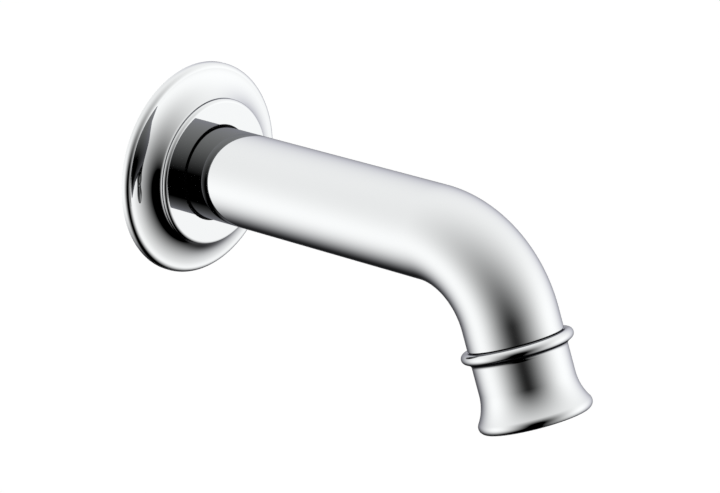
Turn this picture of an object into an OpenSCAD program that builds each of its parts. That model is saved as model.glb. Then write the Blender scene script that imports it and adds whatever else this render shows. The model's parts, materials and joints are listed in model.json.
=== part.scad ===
/* [Spout tube] */
// Outer diameter of the tube
tube_d = 32; // [31:0.5:36]
// Wall thickness of the tube
tube_wall = 1.5; // [1:0.1:2]
// Distance from the wall to the start of the bend
straight_len = 106; // [90:1:200]
// Radius of the bend along the middle of the tube
bend_r = 34; // [30:0.5:60]
// How far the bend turns the tube down
bend_angle = 70; // [45:1:90]
// Room between the tube's back end and the wall
tube_back_gap = 1; // [0.5:0.5:2]

/* [Wall flange] */
// Diameter of the flange at the wall
flange_d = 73.5; // [70:0.5:90]
// Height of the plain edge that meets the wall
flange_edge_h = 0.8; // [0.5:0.1:1.2]
// Radius of the rolled rim
rim_r = 2; // [1.6:0.1:2.4]
// Diameter of the raised disc
disc_d = 50; // [46:0.5:54]
// Height of the disc's face above the wall
disc_h = 9.3; // [8.5:0.1:12]
// Rounding of the disc's edge
disc_round = 1.2; // [0.6:0.1:1.6]
// Width and depth of the fine groove at the foot of the disc
foot_groove = 0.3; // [0.2:0.1:0.5]
// Radius of the fillet at the foot of the disc
foot_r = 1.4; // [1:0.1:2.6]
// Radius of the valley between the disc and the rim
valley_r = 6.6; // [5:0.1:9]
// Depth of the valley below the top of the rim
valley_dip = 0.05; // [0.05:0.05:0.6]
// Slope, in degrees, at which the cove runs into the valley
valley_slope = 12; // [8:0.5:15]
// Depth of the relief behind the cove
back_relief = 0.4; // [0.2:0.1:0.6]
// Gap between the tube and the hole in the disc
flange_gap = 0.75; // [0.5:0.05:1.2]
// Section of the rubber ring in the flange's bore
flange_ring_d = 2.4; // [2:0.1:3]
// Width of the rubber wall seal
wall_seal_w = 5; // [3:0.5:6]
// Thickness of the rubber wall seal
wall_seal_t = 4; // [2.5:0.5:4]

/* [Wall connection] */
// Outer diameter of the half-inch pipe thread
inlet_thread_d = 20.955; // [16.662, 20.955]
// Length of the pipe thread, without its chamfer
inlet_thread_len = 13; // [12:1:20]
// Diameter of the smooth spigot that the spout slides on
spigot_d = 21.8; // [21.2:0.1:23]
// Length of the spigot
spigot_len = 26; // [24:1:32]
// Water bore of the nipple
nipple_bore_d = 11.6; // [10:0.2:12]
// Size of the hexagon key that turns the nipple
nipple_key = 12; // [12:1:13]
// Depth of the hexagon socket
nipple_key_depth = 8; // [6:1:10]
// Section of the rubber rings on the spigot
spigot_ring_d = 2; // [1.8:0.1:2.4]
// Distance of the front ring behind the spigot's end
front_ring_at = 3.5; // [3:0.5:5]
// Distance between the two rings
ring_spacing = 4.5; // [4:0.5:6]
// Diameter of the collar between spigot and thread
collar_d = 27; // [25:0.5:28]
// Thickness of the collar
collar_t = 2.5; // [2:0.5:4]
// Thickness of the fibre washer
nipple_washer_t = 1.5; // [1:0.5:2]
// Diameter of the locking screw
grub_d = 6; // [5:1:6]
// Diameter of the screw's point
grub_point_d = 4; // [3:0.5:4]
// Distance of the locking screw from the wall
grub_at = 13; // [12.5:0.5:14]
// Size of the screw's hexagon socket
grub_key = 3; // [2.5:0.5:3]

/* [Outlet nozzle] */
// Radius of the half-round bead
bead_r = 1.8; // [1.4:0.1:2.4]
// How far the bead stands out from the tube
bead_proud = 2.7; // [2:0.1:3]
// Middle of the bead, from the end of the bend
bead_at = 8.8; // [7:0.1:12]
// Mouth of the nozzle, from the end of the bend
mouth_at = 34; // [33:0.5:45]
// Largest diameter of the flared mouth
mouth_d = 38; // [36:0.5:44]
// Radius of the hollow flare
flare_r = 17; // [14:0.5:22]
// Radius of the rounded lip
lip_r = 2.3; // [1.5:0.1:2.6]
// Water bore above the flow cartridge
waterway_d = 24; // [20:0.5:24.4]
// Length of the spigot inside the tube
tube_spigot_len = 5; // [3:0.5:8]

/* [Flow cartridge] */
// Outer diameter of the cartridge sleeve
sleeve_d = 27.4; // [26:0.2:27.6]
// Length of the cartridge sleeve
sleeve_len = 10; // [10:0.5:12]
// Wall of the cartridge sleeve
sleeve_wall = 1.5; // [1:0.1:1.8]
// Height of the sleeve's lower lip
sleeve_lip_h = 1; // [0.8:0.1:1.5]
// Width of the sleeve's lower lip
sleeve_lip_w = 0.8; // [0.5:0.1:1]
// Depth of the cartridge inside the mouth
mouth_recess = 5.5; // [5:0.5:8]
// Thickness of the cartridge washer
cartridge_washer_t = 1.5; // [1:0.5:2]
// Height of the honeycomb
grille_h = 2.6; // [2:0.1:3]
// Distance across the flats of one honeycomb cell
cell_flats = 2.2; // [1.6:0.1:2.6]
// Thickness of the honeycomb's webs
cell_web = 0.5; // [0.4:0.05:0.8]
// Rings of cells round the middle one
cell_rings = 4; // [3:1:4]
// Thickness of a steel screen
mesh_t = 0.4; // [0.3:0.1:0.5]
// Distance from wire to wire in a screen
mesh_pitch = 2.4; // [2:0.1:3]
// Thickness of a screen's wires
mesh_wire = 0.4; // [0.3:0.05:0.6]
// Height of the mixing ring
mixer_h = 1.6; // [1.2:0.1:1.8]
// Thickness of the jet plate
jet_plate_t = 1.2; // [1:0.1:1.4]
// Number of jets
jet_count = 24; // [16:4:32]
// Diameter of one jet
jet_d = 0.9; // [0.6:0.1:1]
// Height of the strainer dome
dome_h = 3; // [2:0.5:4]
// Wall of the strainer dome
dome_wall = 0.7; // [0.5:0.1:1]
// Slots in the strainer dome
dome_slots = 12; // [8:2:16]
// Section of the regulator's rubber ring
regulator_ring_d = 1.6; // [1.2:0.1:1.8]

/* [Fits] */
// Gap in a brazed joint, all round
braze_gap = 0.05; // [0.03:0.01:0.1]
// Gap round a piece that slides in, all round
slide_gap = 0.1; // [0.05:0.01:0.2]
// Gap between a rubber ring and its groove or bore
seal_gap = 0.05; // [0.02:0.01:0.1]

/* [Hidden] */
$fn = 96;
// A cut passes its face by this much
over = 0.5;
// Depth and width of a rubber ring's groove, for each millimetre of the ring's section
groove_depth_share = 0.8;
groove_width_share = 1.3;

// Tube
tube_r = tube_d / 2;
tube_bore_r = tube_r - tube_wall;

// Flange, as radii and heights above the wall
flange_r = flange_d / 2;
disc_r = disc_d / 2;
hole_r = tube_r + flange_gap;
foot_h = disc_h - disc_round - foot_groove;
// Each centre below is a pair: distance from the tube's axis, and height above the wall.
// The valley's circle touches the rim's circle, and the cove turns over into the rim there
rim_c = [flange_r - rim_r, flange_edge_h];
crest_turn = acos(1 - valley_dip / (rim_r + valley_r));
to_valley = [-sin(crest_turn), cos(crest_turn)];
crest = rim_c + rim_r * to_valley;
valley_c = crest + valley_r * to_valley;
// The long slope's circle touches the valley's where the slope is the stated one, and the fillet's
foot_c = [disc_r + foot_r, foot_h];
up_slope = [sin(valley_slope), cos(valley_slope)];
foot_to_valley = valley_c - foot_c;
radii_apart = valley_r - foot_r;
slope_extra = (foot_to_valley * foot_to_valley - radii_apart * radii_apart)
    / (2 * (radii_apart - foot_to_valley * up_slope));
slope_r = valley_r + slope_extra;
slope_c = valley_c + slope_extra * up_slope;
slope_end = valley_c - valley_r * up_slope;
slope_start = foot_c - foot_r * (slope_c - foot_c) / norm(slope_c - foot_c);
flange_ring_groove = flange_ring_d * groove_depth_share;
flange_ring_groove_w = flange_ring_d * groove_width_share;
flange_ring_at = (wall_seal_t + disc_h) / 2;
// Plain stretch between the disc's corner and the relief behind the cove
relief_inset = 1;
seal_in_r = hole_r + slide_gap;
seal_out_r = seal_in_r + wall_seal_w;

// Wall connection, as distances out from the wall
spigot_r = spigot_d / 2;
spigot_end = tube_back_gap + spigot_len;
groove_depth = spigot_ring_d * groove_depth_share;
groove_w = spigot_ring_d * groove_width_share;
bush_bore_r = spigot_r + slide_gap;
bush_r = tube_bore_r - braze_gap;
bush_start = tube_back_gap;
// The bush's inner step, which the spigot's end stands against, and the lead at its mouth
bush_step_w = 2;
bush_step_t = 1;
bush_lead = 1;
bush_end = spigot_end + bush_step_t;
front_ring_s = spigot_end - front_ring_at;
rear_ring_s = front_ring_s - ring_spacing;
// Room between the fibre washer and the first turn of the thread
thread_room = 0.3;
thread_depth = 1.162;
thread_chamfer = 1;
collar_start = tube_back_gap - collar_t;
thread_start = collar_start - nipple_washer_t - thread_room;
thread_end = thread_start - inlet_thread_len;
nipple_end = thread_end - thread_chamfer;
relief_r = inlet_thread_d / 2 - thread_depth;
// The groove that the locking screw's point stands in, and how far the screw is sunk
lock_groove_depth = 0.8;
lock_groove_w = grub_point_d + 4 * slide_gap;
grub_sunk = 0.6;

// Nozzle, as distances from the end of the bend; the tube ends at the middle of the bead
tail_len = bead_at;
// The tube's end is drawn over a mandrel, which leaves it a hair wider
end_sized = 0.02;
end_sized_from = 0.3;
barrel_r = tube_r;
bead_mid_r = tube_r + bead_proud - bead_r;
mouth_r = mouth_d / 2;
lip_mid_r = mouth_r - lip_r;
lip_mid_s = mouth_at - lip_r;
flare_turn = acos((barrel_r + flare_r - lip_mid_r) / (flare_r + lip_r));
flare_start = lip_mid_s - (flare_r + lip_r) * sin(flare_turn);
flare_end_s = flare_start + flare_r * sin(flare_turn);
flare_end_r = barrel_r + flare_r * (1 - cos(flare_turn));
sleeve_r = sleeve_d / 2;
cartridge_bore_r = sleeve_r + slide_gap;
sleeve_bottom = mouth_at - mouth_recess;
sleeve_top = sleeve_bottom - sleeve_len;
seat_s = sleeve_top - cartridge_washer_t;
tube_spigot_r = tube_bore_r - braze_gap;
waterway_r = waterway_d / 2;

// Cartridge stack, from the sleeve's lip upwards
stack_r = sleeve_r - sleeve_wall - seal_gap;
grille_bottom = sleeve_bottom - sleeve_lip_h;
grille_top = grille_bottom - grille_h;
lower_mesh_top = grille_top - mesh_t;
upper_mesh_top = lower_mesh_top - mesh_t;
mixer_top = upper_mesh_top - mixer_h;
jet_top = mixer_top - jet_plate_t;
regulator_h = jet_top - sleeve_top;
cell_pitch = cell_flats + cell_web;
// Slots for the key that turns the sleeve
key_slot_w = 3;
key_slot_h = 0.8;
mesh_rim_w = 1;
// Wall of the mixing ring at its top, and how far it leans inwards
mixer_wall = 0.8;
mixer_lean = 1.6;
// Distance of the jets from the plate's rim
jet_inset = 3.4;
// The regulator's channel for its rubber ring, its floor, its walls and its ring of holes
channel_in_r = 4;
channel_w = 3;
channel_floor = 0.8;
regulator_wall = 1;
regulator_holes = 8;
regulator_hole_d = 1.4;
// Room round the strainer dome, and its slots
dome_gap = 0.6;
dome_r = waterway_r - dome_gap;
dome_slot_w = 0.8;
dome_slot_start = dome_r * 0.3;
dome_slot_len = dome_r * 0.5;

// Turns a piece drawn along +Z so that it points out of the wall
module out_of_wall(s = 0) {
    rotate([90, 0, 0]) translate([0, 0, s]) children();
}

// Lays the bend's circle in the plane XY, with its start on the +X axis
module in_bend() {
    out_of_wall(straight_len) translate([0, -bend_r, 0]) rotate([90, 0, 90]) children();
}

// Sets a piece drawn along +Z at the end of the bend, pointing down the outlet
module down_outlet(s = 0) {
    in_bend() rotate([0, 0, bend_angle]) translate([bend_r, 0, 0])
        rotate([-90, 0, 0]) translate([0, 0, s]) children();
}

// A round ring or washer with square edges
module washer(in_r, out_r, t) {
    difference() {
        cylinder(r = out_r, h = t);
        translate([0, 0, -over]) cylinder(r = in_r, h = t + 2 * over);
    }
}

// A rubber ring pressed flat by the bore or groove on its inner and outer sides
module pressed_ring(in_r, out_r, section_d) {
    rotate_extrude() intersection() {
        translate([(in_r + out_r) / 2, 0]) circle(d = section_d);
        translate([in_r, -section_d]) square([out_r - in_r, 2 * section_d]);
    }
}

// What the lathe takes away between the disc and the wall: fillet, slope, valley and rim
module cove() {
    translate(foot_c) circle(r = foot_r);
    intersection() {
        translate(slope_c) circle(r = slope_r);
        translate([slope_start.x, 0]) square([slope_end.x - slope_start.x, disc_h]);
    }
    translate(valley_c) circle(r = valley_r);
    difference() {
        translate([crest.x, flange_edge_h]) square([flange_r - crest.x + over, disc_h]);
        translate(rim_c) circle(r = rim_r);
    }
}

// The profile of the flange, turned about the tube's axis
module flange_profile() {
    difference() {
        union() {
            square([flange_r, foot_h]);
            square([disc_r, disc_h - disc_round]);
            square([disc_r - disc_round, disc_h]);
            translate([disc_r - disc_round, disc_h - disc_round]) circle(r = disc_round);
        }
        cove();
        // Hole for the tube
        translate([-over, -over]) square([hole_r + over, disc_h + 2 * over]);
        // Groove for the rubber ring that grips the tube
        translate([0, flange_ring_at - flange_ring_groove_w / 2])
            square([tube_r + flange_ring_groove + seal_gap, flange_ring_groove_w]);
        // Seat of the wall seal
        translate([0, -over]) square([seal_out_r + slide_gap, wall_seal_t + over]);
        // Relief behind the cove
        translate([disc_r + relief_inset, -over])
            square([crest.x - disc_r - relief_inset, back_relief + over]);
        // Fine groove at the foot of the disc
        translate([disc_r - foot_groove, foot_h]) square([2 * foot_groove, foot_groove]);
    }
}

module wall_flange() {
    color("silver") out_of_wall() rotate_extrude() flange_profile();
}

module flange_o_ring() {
    color("dimgray") out_of_wall(flange_ring_at)
        pressed_ring(tube_r + seal_gap, tube_r + flange_ring_groove, flange_ring_d);
}

module wall_seal() {
    color("dimgray") out_of_wall() washer(seal_in_r, seal_out_r, wall_seal_t);
}

module tube_section(sized = 0) {
    difference() {
        circle(r = tube_r + sized);
        circle(r = tube_bore_r + sized);
    }
}

module spout_tube() {
    color("silver") difference() {
        union() {
            out_of_wall(tube_back_gap) linear_extrude(straight_len - tube_back_gap) tube_section();
            in_bend() rotate_extrude(angle = bend_angle) translate([bend_r, 0]) tube_section();
            down_outlet(-end_sized_from) linear_extrude(tail_len + end_sized_from)
                tube_section(end_sized);
        }
        grub_hole();
    }
}

// The threaded hole for the locking screw, straight up into the tube from below
module grub_hole() {
    translate([0, -grub_at, -tube_r - over]) cylinder(d = grub_d + 2 * slide_gap, h = tube_r);
}

module inlet_bush() {
    color("goldenrod") difference() {
        out_of_wall(bush_start) difference() {
            cylinder(r = bush_r, h = bush_end - bush_start);
            translate([0, 0, -over]) cylinder(r = bush_bore_r, h = spigot_end - bush_start + over);
            cylinder(r = bush_bore_r - bush_step_w, h = bush_end - bush_start + over);
            // Lead for the rubber rings
            cylinder(r1 = bush_bore_r + bush_lead, r2 = bush_bore_r, h = bush_lead);
        }
        grub_hole();
    }
}

module wall_nipple() {
    color("goldenrod") out_of_wall() difference() {
        union() {
            translate([0, 0, thread_end]) cylinder(d = inlet_thread_d, h = inlet_thread_len);
            translate([0, 0, nipple_end])
                cylinder(d1 = inlet_thread_d - 2 * thread_chamfer, d2 = inlet_thread_d, h = thread_chamfer);
            translate([0, 0, thread_start]) cylinder(r = relief_r, h = tube_back_gap - thread_start);
            translate([0, 0, collar_start]) cylinder(d = collar_d, h = collar_t);
            translate([0, 0, tube_back_gap]) cylinder(r = spigot_r, h = spigot_len);
        }
        translate([0, 0, nipple_end - over])
            cylinder(d = nipple_bore_d, h = spigot_end - nipple_end + 2 * over);
        translate([0, 0, spigot_end - nipple_key_depth])
            cylinder(d = nipple_key / cos(30), h = nipple_key_depth + over, $fn = 6);
        for (s = [front_ring_s, rear_ring_s])
            translate([0, 0, s - groove_w / 2]) washer(spigot_r - groove_depth, spigot_r + over, groove_w);
        translate([0, 0, grub_at - lock_groove_w / 2])
            washer(spigot_r - lock_groove_depth, spigot_r + over, lock_groove_w);
    }
}

module nipple_ring(s) {
    color("dimgray") out_of_wall(s)
        pressed_ring(spigot_r - groove_depth + seal_gap, bush_bore_r - seal_gap, spigot_ring_d);
}

module nipple_o_ring_front() {
    nipple_ring(front_ring_s);
}

module nipple_o_ring_rear() {
    nipple_ring(rear_ring_s);
}

module nipple_washer() {
    color("firebrick") out_of_wall(collar_start - nipple_washer_t)
        washer(inlet_thread_d / 2 + slide_gap, collar_d / 2, nipple_washer_t);
}

// Headless screw with a dog point that stands in the nipple's groove
module grub_screw() {
    tip_r = spigot_r - lock_groove_depth + slide_gap;
    body_r = bush_bore_r;
    head_r = tube_r - grub_sunk;
    color("dimgray") translate([0, -grub_at, 0]) rotate([180, 0, 0]) difference() {
        union() {
            translate([0, 0, tip_r]) cylinder(d = grub_point_d, h = body_r - tip_r);
            translate([0, 0, body_r]) cylinder(d = grub_d, h = head_r - body_r);
        }
        translate([0, 0, head_r - grub_key]) cylinder(d = grub_key / cos(30), h = grub_key + over, $fn = 6);
    }
}

// The profile of the nozzle, turned about the outlet's axis
module nozzle_profile() {
    difference() {
        union() {
            translate([0, tail_len - tube_spigot_len]) square([tube_spigot_r, tube_spigot_len + over]);
            translate([0, tail_len]) square([barrel_r, lip_mid_s - tail_len]);
            translate([bead_mid_r, bead_at]) circle(r = bead_r);
            difference() {
                translate([0, flare_start]) square([flare_end_r, flare_end_s - flare_start]);
                translate([barrel_r + flare_r, flare_start]) circle(r = flare_r);
            }
            polygon([[0, flare_end_s], [flare_end_r, flare_end_s], [lip_mid_r, lip_mid_s], [0, lip_mid_s]]);
            translate([lip_mid_r, lip_mid_s]) circle(r = lip_r);
        }
        // Water bore, and the wider bore that takes the cartridge
        translate([-over, 0]) square([waterway_r + over, mouth_at + over]);
        translate([-over, seat_s]) square([cartridge_bore_r + over, mouth_at + over - seat_s]);
        // Eased opening into the rounded lip
        polygon([[cartridge_bore_r, sleeve_bottom], [lip_mid_r - lip_r, lip_mid_s],
                 [cartridge_bore_r, lip_mid_s]]);
        // Slot between bead and spigot for the tube's wall
        translate([tube_spigot_r, 0]) square([tube_r + braze_gap - tube_spigot_r, tail_len]);
    }
}

module outlet_nozzle() {
    color("silver") down_outlet() rotate_extrude() nozzle_profile();
}

module cartridge_washer() {
    color("dimgray") down_outlet(seat_s) washer(waterway_r, sleeve_r - slide_gap, cartridge_washer_t);
}

module cartridge_sleeve() {
    color("gainsboro") down_outlet() difference() {
        translate([0, 0, sleeve_top]) cylinder(r = sleeve_r, h = sleeve_len);
        translate([0, 0, sleeve_top - over])
            cylinder(r = sleeve_r - sleeve_wall, h = sleeve_len - sleeve_lip_h + over);
        translate([0, 0, sleeve_top])
            cylinder(r = sleeve_r - sleeve_wall - sleeve_lip_w, h = sleeve_len + over);
        for (turn = [0, 90])
            rotate([0, 0, turn]) translate([-sleeve_d, -key_slot_w / 2, sleeve_bottom - key_slot_h])
                cube([2 * sleeve_d, key_slot_w, key_slot_h + over]);
    }
}

// Centres of a honeycomb of the stated number of rings
function cell_centres(rings, pitch) = [
    for (i = [-rings : rings], j = [-rings : rings])
        if (abs(i + j) <= rings) [pitch * (i + j / 2), pitch * j * sin(60)]
];

module outlet_grille() {
    color("gainsboro") down_outlet(grille_top) difference() {
        cylinder(r = stack_r, h = grille_h);
        for (c = cell_centres(cell_rings, cell_pitch))
            if (norm(c) + cell_flats / 2 < stack_r - sleeve_lip_w)
                translate([c.x, c.y, -over])
                    rotate([0, 0, 30]) cylinder(d = cell_flats / cos(30), h = grille_h + 2 * over, $fn = 6);
    }
}

// A round screen: a rim with wires crossing it
module screen() {
    count = floor((stack_r - mesh_rim_w) / mesh_pitch);
    washer(stack_r - mesh_rim_w, stack_r, mesh_t);
    for (i = [-count : count]) {
        x = i * mesh_pitch;
        half = sqrt(pow(stack_r - mesh_rim_w / 2, 2) - x * x);
        translate([x - mesh_wire / 2, -half, 0]) cube([mesh_wire, 2 * half, mesh_t]);
        translate([-half, x - mesh_wire / 2, 0]) cube([2 * half, mesh_wire, mesh_t]);
    }
}

module lower_mesh() {
    color("gray") down_outlet(lower_mesh_top) screen();
}

module upper_mesh() {
    color("gray") down_outlet(upper_mesh_top) rotate([0, 0, 45]) screen();
}

// A ring whose inside narrows downwards, so that the jets are turned inwards
module mixer_ring() {
    color("whitesmoke") down_outlet(mixer_top) difference() {
        cylinder(r = stack_r, h = mixer_h);
        cylinder(r1 = stack_r - mixer_wall, r2 = stack_r - mixer_wall - mixer_lean, h = mixer_h);
    }
}

module jet_plate() {
    color("whitesmoke") down_outlet(jet_top) difference() {
        cylinder(r = stack_r, h = jet_plate_t);
        for (i = [0 : jet_count - 1])
            rotate([0, 0, i * 360 / jet_count]) translate([stack_r - jet_inset, 0, -over])
                cylinder(d = jet_d, h = jet_plate_t + 2 * over);
    }
}

// A cup with a centre post, a ring channel and a ring of holes under the rubber ring
module regulator_body() {
    channel_out_r = channel_in_r + channel_w;
    color("white") down_outlet(sleeve_top) difference() {
        cylinder(r = stack_r, h = regulator_h);
        translate([0, 0, -over]) washer(channel_in_r, channel_out_r, regulator_h - channel_floor + over);
        translate([0, 0, -over])
            washer(channel_out_r + regulator_wall, stack_r - regulator_wall, channel_floor + over);
        for (i = [0 : regulator_holes - 1])
            rotate([0, 0, i * 360 / regulator_holes]) translate([channel_in_r + channel_w / 2, 0, 0])
                cylinder(d = regulator_hole_d, h = regulator_h + over);
    }
}

module regulator_ring() {
    color("dimgray") down_outlet(sleeve_top + regulator_h - channel_floor - regulator_ring_d / 2)
        rotate_extrude() translate([channel_in_r + channel_w / 2, 0]) circle(d = regulator_ring_d);
}

// A slotted dome that stands in the water bore above the regulator
module strainer_dome() {
    ball_r = (dome_r * dome_r + dome_h * dome_h) / (2 * dome_h);
    color("whitesmoke") down_outlet(sleeve_top) difference() {
        intersection() {
            translate([0, 0, ball_r - dome_h]) sphere(r = ball_r);
            translate([0, 0, -dome_h]) cylinder(r = dome_r, h = dome_h);
        }
        intersection() {
            translate([0, 0, ball_r - dome_h]) sphere(r = ball_r - dome_wall);
            translate([0, 0, -dome_h]) cylinder(r = dome_r, h = dome_h + over);
        }
        for (i = [0 : dome_slots - 1])
            rotate([0, 0, i * 360 / dome_slots])
                translate([dome_slot_start, -dome_slot_w / 2, -dome_h - over])
                    cube([dome_slot_len, dome_slot_w, dome_h]);
    }
}

wall_flange();
flange_o_ring();
wall_seal();
spout_tube();
inlet_bush();
wall_nipple();
nipple_o_ring_front();
nipple_o_ring_rear();
nipple_washer();
grub_screw();
outlet_nozzle();
cartridge_washer();
strainer_dome();
regulator_body();
regulator_ring();
jet_plate();
mixer_ring();
upper_mesh();
lower_mesh();
cartridge_sleeve();
outlet_grille();
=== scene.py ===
# %% [markdown]
# # A wall spout in polished chrome
# A wall spout is a bent brass tube with a turned nozzle at its mouth and a turned flange at the wall.
# Everything on it is plated, so the picture is made of reflections: the shapes have to be exact and
# the room around the spout has to be designed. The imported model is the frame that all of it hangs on.

# %% Load the frame
import bmesh
import bpy
import json
import math
from mathutils import Matrix, Vector


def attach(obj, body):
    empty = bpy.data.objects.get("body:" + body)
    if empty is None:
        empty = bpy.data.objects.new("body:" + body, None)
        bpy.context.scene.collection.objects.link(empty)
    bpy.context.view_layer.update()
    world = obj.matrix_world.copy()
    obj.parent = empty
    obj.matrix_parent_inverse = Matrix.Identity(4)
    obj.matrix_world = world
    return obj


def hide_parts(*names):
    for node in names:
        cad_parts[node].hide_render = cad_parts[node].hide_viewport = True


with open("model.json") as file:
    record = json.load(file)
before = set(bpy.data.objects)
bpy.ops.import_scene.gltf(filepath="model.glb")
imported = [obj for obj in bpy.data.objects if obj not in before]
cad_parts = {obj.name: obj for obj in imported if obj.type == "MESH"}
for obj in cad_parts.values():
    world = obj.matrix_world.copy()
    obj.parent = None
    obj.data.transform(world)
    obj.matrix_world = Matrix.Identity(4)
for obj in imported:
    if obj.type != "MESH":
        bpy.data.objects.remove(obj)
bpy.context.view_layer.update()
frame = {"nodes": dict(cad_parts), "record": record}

nodes = frame["nodes"]
scene = bpy.context.scene
MM = 0.001
print("nodes:", len(nodes))

# %% [markdown]
# ## Small helpers for node trees
# Every tree below is made of the same three moves: add a node, set its sockets, join two sockets.
# Short functions for them keep the later cells about the object and not about the interface.

# %% Node helpers
def add(tree, kind, inputs=None, **settings):
    """A new node with its settings and the unlinked values of its inputs."""
    node = tree.nodes.new(kind)
    for name, value in settings.items():
        setattr(node, name, value)
    for name, value in (inputs or {}).items():
        node.inputs[name].default_value = value
    return node


def join(tree, source, target):
    tree.links.new(source, target)


def math_node(tree, operation, *values, clamp=False):
    """A Math node whose inputs are sockets or numbers; gives back its output."""
    node = add(tree, "ShaderNodeMath", operation=operation, use_clamp=clamp)
    for socket, value in zip(node.inputs, values):
        if isinstance(value, (int, float)):
            socket.default_value = value
        else:
            join(tree, value, socket)
    return node.outputs[0]


def group_tree(kind, name, inputs, outputs):
    """A node group with named sockets, and its input and output nodes."""
    tree = bpy.data.node_groups.new(name, kind)
    for socket_name, socket_type, value in inputs:
        socket = tree.interface.new_socket(socket_name, in_out="INPUT", socket_type=socket_type)
        if value is not None:
            socket.default_value = value
    for socket_name, socket_type in outputs:
        tree.interface.new_socket(socket_name, in_out="OUTPUT", socket_type=socket_type)
    return tree, tree.nodes.new("NodeGroupInput"), tree.nodes.new("NodeGroupOutput")


print("helpers ready")

# %% [markdown]
# ## The camera
# The photograph looks at the spout from its left, a little from above, through a long lens. The
# values below were found by laying the outline of the model over the outline in the photograph.

# %% Camera
VIEW_AZIMUTH = math.radians(-49.075)
VIEW_ELEVATION = math.radians(19.15)
VIEW_DISTANCE = 1.14935
VIEW_TARGET = Vector((-0.005135, -0.07859, -0.00981))
LENS_MM = 174.58
SENSOR_MM = 36
NEAREST_SEEN = 0.01

toward_camera = Vector((math.sin(VIEW_AZIMUTH) * math.cos(VIEW_ELEVATION),
                        -math.cos(VIEW_AZIMUTH) * math.cos(VIEW_ELEVATION),
                        math.sin(VIEW_ELEVATION)))
camera_data = bpy.data.cameras.new("camera")
camera_data.lens = LENS_MM
camera_data.sensor_width = SENSOR_MM
camera_data.clip_start = NEAREST_SEEN
camera = bpy.data.objects.new("camera", camera_data)
scene.collection.objects.link(camera)
camera.location = VIEW_TARGET + VIEW_DISTANCE * toward_camera
camera.rotation_euler = toward_camera.to_track_quat("Z", "Y").to_euler()
scene.camera = camera
print("camera at", [round(v, 4) for v in camera.location])

# %% [markdown]
# ## The room that the chrome shows
# A plated surface has no shade of its own: what it shows is the room. Here the room is white and
# bright, but dim behind the camera, with a dark floor, a dark corner low behind the wall and a narrow
# dark post, which is the long streak down the bend and the nozzle. Each of these is a soft round patch
# of the sky, made by one small group: the nearer a direction is to the patch's middle, the more light
# the patch adds or takes away. The room never gets brighter than a limit just above white, so broad
# areas stay white without a glare. What is mirrored twice comes back much dimmer than what is mirrored
# once: real plating loses light there too, and the narrow places between two pieces stay dark.

# %% Soft patch group
def soft_patch_group():
    tree, given, result = group_tree(
        "ShaderNodeTree", "soft patch of the room",
        [("Direction", "NodeSocketVector", None), ("Middle", "NodeSocketVector", None),
         ("Tightness", "NodeSocketFloat", 2.0), ("Amount", "NodeSocketFloat", 0.0)],
        [("Light", "NodeSocketFloat")])
    nearness = add(tree, "ShaderNodeVectorMath", operation="DOT_PRODUCT")
    join(tree, given.outputs["Direction"], nearness.inputs[0])
    join(tree, given.outputs["Middle"], nearness.inputs[1])
    away = math_node(tree, "SUBTRACT", nearness.outputs["Value"], 1.0)
    fall = math_node(tree, "MULTIPLY", away, given.outputs["Tightness"])
    strength = math_node(tree, "EXPONENT", fall)
    join(tree, math_node(tree, "MULTIPLY", strength, given.outputs["Amount"]), result.inputs["Light"])
    return tree


soft_patch = soft_patch_group()
print("group:", soft_patch.name)

# %% World
WHITE = (1, 1, 1, 1)
PLAIN_LIGHT = 0.9
ROOM_LIGHT = 1.2
BRIGHTEST = 1.12
SECOND_BOUNCE = 0.24
# Each patch: what it is, its bearing from straight out of the wall (to the right), its height above
# the horizon, how tight it is, and how much light it adds or takes away
ROOM_PATCHES = [
    ("dim side of the room behind the camera", -49, -16, 1.08, -1.44),
    ("dark floor", -113, -75, 2.7, -1.68),
    ("dark corner low behind the wall", 150, -38, 2.1, -1.27),
    ("dark post", 105.5, -53, 22.5, -0.58),
    ("bright panel beside the post", 113.5, -55.5, 22.5, 0.59),
    ("bright floor low behind on the left", -130, -56, 1.9, 1.9),
    ("window on the right", 38.5, -14, 3.15, 0.46),
]


def bearing(across, up):
    """The direction with that bearing and height, in degrees."""
    across, up = math.radians(across), math.radians(up)
    return Vector((math.sin(across) * math.cos(up), -math.cos(across) * math.cos(up), math.sin(up)))


world = bpy.data.worlds.new("white room")
scene.world = world
world.use_nodes = True
room = world.node_tree
room.nodes.clear()
direction = add(room, "ShaderNodeTexCoord").outputs["Generated"]
total = ROOM_LIGHT
for title, across, up, tightness, amount in ROOM_PATCHES:
    patch = add(room, "ShaderNodeGroup", node_tree=soft_patch, label=title)
    patch.inputs["Middle"].default_value = bearing(across, up)
    patch.inputs["Tightness"].default_value = tightness
    patch.inputs["Amount"].default_value = amount
    join(room, direction, patch.inputs["Direction"])
    total = math_node(room, "ADD", patch.outputs["Light"], total)
limited = math_node(room, "MINIMUM", math_node(room, "MAXIMUM", total, 0.0), BRIGHTEST)
rays = add(room, "ShaderNodeLightPath")
more_bounces = math_node(room, "SUBTRACT", rays.outputs["Glossy Depth"], 1.0)
more_bounces = math_node(room, "MAXIMUM", more_bounces, 0.0)
dimming = math_node(room, "POWER", SECOND_BOUNCE, more_bounces)
mirrored = add(room, "ShaderNodeBackground", inputs={"Color": WHITE})
join(room, math_node(room, "MULTIPLY", limited, dimming), mirrored.inputs["Strength"])
plain = add(room, "ShaderNodeBackground", inputs={"Color": WHITE, "Strength": PLAIN_LIGHT})
chosen = add(room, "ShaderNodeMixShader")
join(room, rays.outputs["Is Glossy Ray"], chosen.inputs[0])
join(room, plain.outputs[0], chosen.inputs[1])
join(room, mirrored.outputs[0], chosen.inputs[2])
white = add(room, "ShaderNodeBackground", inputs={"Color": WHITE, "Strength": 1.0})
seen = add(room, "ShaderNodeMixShader")
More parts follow.
